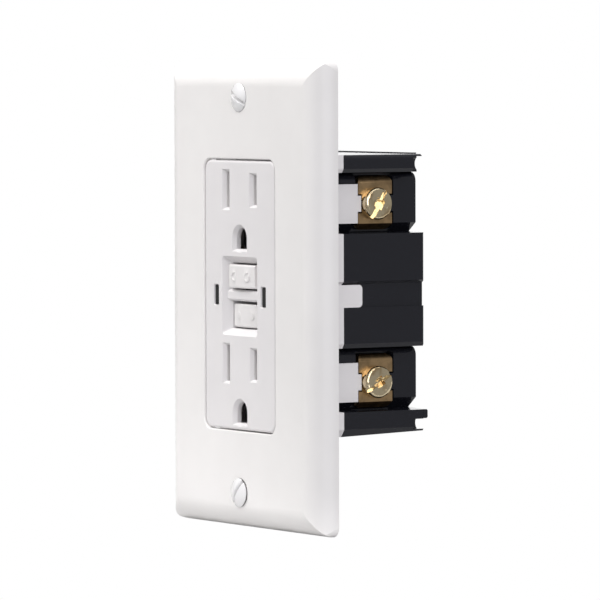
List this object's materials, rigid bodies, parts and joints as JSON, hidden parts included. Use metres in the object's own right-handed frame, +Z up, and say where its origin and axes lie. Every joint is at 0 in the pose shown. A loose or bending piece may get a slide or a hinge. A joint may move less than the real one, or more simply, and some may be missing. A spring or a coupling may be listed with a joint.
{
  "type": "gfci outlet",
  "caption": "Decorator-style ground fault outlet with reset and test buttons, screw terminals on both sides of a black rear case, steel strap and white wall plate.",
  "frame": {"origin": "midway between the two box-screw holes, on the wall plane at the back of the strap's ears", "axes": "+Z up along the device's long axis, -Y out of the wall towards the user, +X to the right of someone facing it"},
  "size_m": [0.0706, 0.0428, 0.1146],
  "materials": {
    "plate_plastic": "smooth, glossy white thermoplastic",
    "plate_screw_paint": "white enamelled steel",
    "face_plastic": "white thermoplastic with a fine satin texture",
    "button_plastic": "white thermoplastic, satin",
    "case_plastic": "glossy near-black thermoset",
    "tray_plastic": "natural white thermoplastic",
    "lens": "dark smoked clear plastic",
    "strap_steel": "zinc-plated steel sheet",
    "green_screw": "green dyed zinc plating",
    "inner_plastic": "natural nylon",
    "spring_steel": "bright spring wire",
    "steel": "zinc-plated steel",
    "contact_brass": "rolled brass sheet",
    "screw_brass": "bright polished brass plating",
    "clamp_brass": "dull bronze-coloured brass",
    "screw_nickel": "bright nickel plating",
    "clamp_nickel": "dull nickel plating",
    "copper_wire": "enamelled copper magnet wire",
    "board": "green solder-masked glass epoxy",
    "ferrite": "dark sintered ferrite",
    "varistor": "blue epoxy dip",
    "capacitor_sleeve": "black shrink sleeve",
    "resistor_body": "tan lacquer",
    "chip_plastic": "black epoxy moulding",
    "led": "tinted clear epoxy"
  },
  "bodies": {
    "device": {"assembly_screws": "steel", "back_case": "case_plastic", "busbar_hot": "contact_brass", "busbar_neutral": "contact_brass", "capacitor": "capacitor_sleeve", "circuit_board": "board", "control_chip": "chip_plastic", "front_cover": "face_plastic", "ground_contact_lower": "contact_brass", "ground_contact_upper": "contact_brass", "indicator_leds": "led", "indicator_light_pipes": "lens", "line_strap_hot": "contact_brass", "line_strap_neutral": "contact_brass", "mounting_strap": "strap_steel", "plate_screws": "plate_screw_paint", "plunger_spring": "spring_steel", "reset_spring": "spring_steel", "resistors": "resistor_body", "separator": "tray_plastic", "shutter_guide_lower": "inner_plastic", "shutter_guide_upper": "inner_plastic", "shutter_spring_lower": "spring_steel", "shutter_spring_upper": "spring_steel", "solenoid_bobbin": "inner_plastic", "solenoid_coil": "copper_wire", "solenoid_frame": "steel", "surge_varistor": "varistor", "terminal_plate_line_hot": "contact_brass", "terminal_plate_line_neutral": "contact_brass", "terminal_plate_load_hot": "contact_brass", "terminal_plate_load_neutral": "contact_brass", "test_leaf": "spring_steel", "test_spring": "spring_steel", "toroid_cores": "ferrite", "toroid_housing": "inner_plastic", "wall_plate": "plate_plastic"},
    "reset_button": {"reset_button": "button_plastic", "reset_pin": "steel"},
    "test_button": {"test_button": "button_plastic"},
    "shutter_upper": {"shutter_upper": "inner_plastic"},
    "shutter_lower": {"shutter_lower": "inner_plastic"},
    "contact_carriage": {"contact_carriage": "inner_plastic", "contact_bridges": "contact_brass"},
    "latch_plate": {"latch_plate": "steel"},
    "solenoid_plunger": {"solenoid_plunger": "steel"},
    "ground_screw": {"ground_screw": "green_screw"},
    "clamp_plate_line_hot": {"clamp_plate_line_hot": "clamp_brass"},
    "terminal_screw_line_hot": {"terminal_screw_line_hot": "screw_brass"},
    "clamp_plate_load_hot": {"clamp_plate_load_hot": "clamp_brass"},
    "terminal_screw_load_hot": {"terminal_screw_load_hot": "screw_brass"},
    "clamp_plate_line_neutral": {"clamp_plate_line_neutral": "clamp_nickel"},
    "terminal_screw_line_neutral": {"terminal_screw_line_neutral": "screw_nickel"},
    "clamp_plate_load_neutral": {"clamp_plate_load_neutral": "clamp_nickel"},
    "terminal_screw_load_neutral": {"terminal_screw_load_neutral": "screw_nickel"}
  },
  "joints": [
    {"name": "reset_press", "type": "slide", "parent": "device", "child": "reset_button", "axis": [0, 1, 0], "range_m": [0, 0.003], "stiffness_N_per_m": 400, "springref_m": -0.002, "deforming": ["reset_spring"]},
    {"name": "test_press", "type": "slide", "parent": "device", "child": "test_button", "axis": [0, 1, 0], "range_m": [0, 0.0015], "stiffness_N_per_m": 400, "springref_m": -0.001, "deforming": ["test_spring"]},
    {"name": "shutter_upper_slide", "type": "slide", "parent": "device", "child": "shutter_upper", "axis": [1, 0, 0], "range_m": [0, 0.003], "stiffness_N_per_m": 60, "springref_m": -0.001, "deforming": ["shutter_spring_upper"]},
    {"name": "shutter_lower_slide", "type": "slide", "parent": "device", "child": "shutter_lower", "axis": [1, 0, 0], "range_m": [0, 0.003], "stiffness_N_per_m": 60, "springref_m": -0.001, "deforming": ["shutter_spring_lower"]},
    {"name": "contacts_close", "type": "slide", "parent": "device", "child": "contact_carriage", "axis": [0, -1, 0], "range_m": [0, 0.00105]},
    {"name": "plunger_pull", "type": "slide", "parent": "device", "child": "solenoid_plunger", "axis": [0, 0, 1], "range_m": [0, 0.0016], "stiffness_N_per_m": 200, "springref_m": -0.001, "deforming": ["plunger_spring"]},
    {"name": "latch_slide", "type": "slide", "parent": "contact_carriage", "child": "latch_plate", "axis": [0, 0, 1], "range_m": [0, 0.0016]},
    {"name": "clamp_line_hot_open", "type": "slide", "parent": "device", "child": "clamp_plate_line_hot", "axis": [1, 0, 0], "range_m": [0, 0.002]},
    {"name": "screw_line_hot_turn", "type": "hinge", "parent": "clamp_plate_line_hot", "child": "terminal_screw_line_hot", "pos_m": [0.0172, 0.0219, 0.0224], "axis": [1, 0, 0], "range_deg": [0, 908]},
    {"name": "clamp_load_hot_open", "type": "slide", "parent": "device", "child": "clamp_plate_load_hot", "axis": [1, 0, 0], "range_m": [0, 0.002]},
    {"name": "screw_load_hot_turn", "type": "hinge", "parent": "clamp_plate_load_hot", "child": "terminal_screw_load_hot", "pos_m": [0.0172, 0.0219, -0.0213], "axis": [1, 0, 0], "range_deg": [0, 908]},
    {"name": "clamp_line_neutral_open", "type": "slide", "parent": "device", "child": "clamp_plate_line_neutral", "axis": [-1, 0, 0], "range_m": [0, 0.002]},
    {"name": "screw_line_neutral_turn", "type": "hinge", "parent": "clamp_plate_line_neutral", "child": "terminal_screw_line_neutral", "pos_m": [-0.0172, 0.0219, 0.0224], "axis": [-1, 0, 0], "range_deg": [0, 908]},
    {"name": "clamp_load_neutral_open", "type": "slide", "parent": "device", "child": "clamp_plate_load_neutral", "axis": [-1, 0, 0], "range_m": [0, 0.002]},
    {"name": "screw_load_neutral_turn", "type": "hinge", "parent": "clamp_plate_load_neutral", "child": "terminal_screw_load_neutral", "pos_m": [-0.0172, 0.0219, -0.0213], "axis": [-1, 0, 0], "range_deg": [0, 908]},
    {"name": "ground_screw_back_out", "type": "slide", "parent": "device", "child": "ground_screw", "axis": [-1, 0, 0], "range_m": [0, 0.0025]}
  ],
  "couplings": [
    {"joint": "latch_slide", "follows": "plunger_pull", "ratio": 1},
    {"joint": "screw_line_hot_turn", "follows": "clamp_line_hot_open", "rad_per_m": 7915.8},
    {"joint": "screw_load_hot_turn", "follows": "clamp_load_hot_open", "rad_per_m": 7915.8},
    {"joint": "screw_line_neutral_turn", "follows": "clamp_line_neutral_open", "rad_per_m": 7915.8},
    {"joint": "screw_load_neutral_turn", "follows": "clamp_load_neutral_open", "rad_per_m": 7915.8}
  ]
}
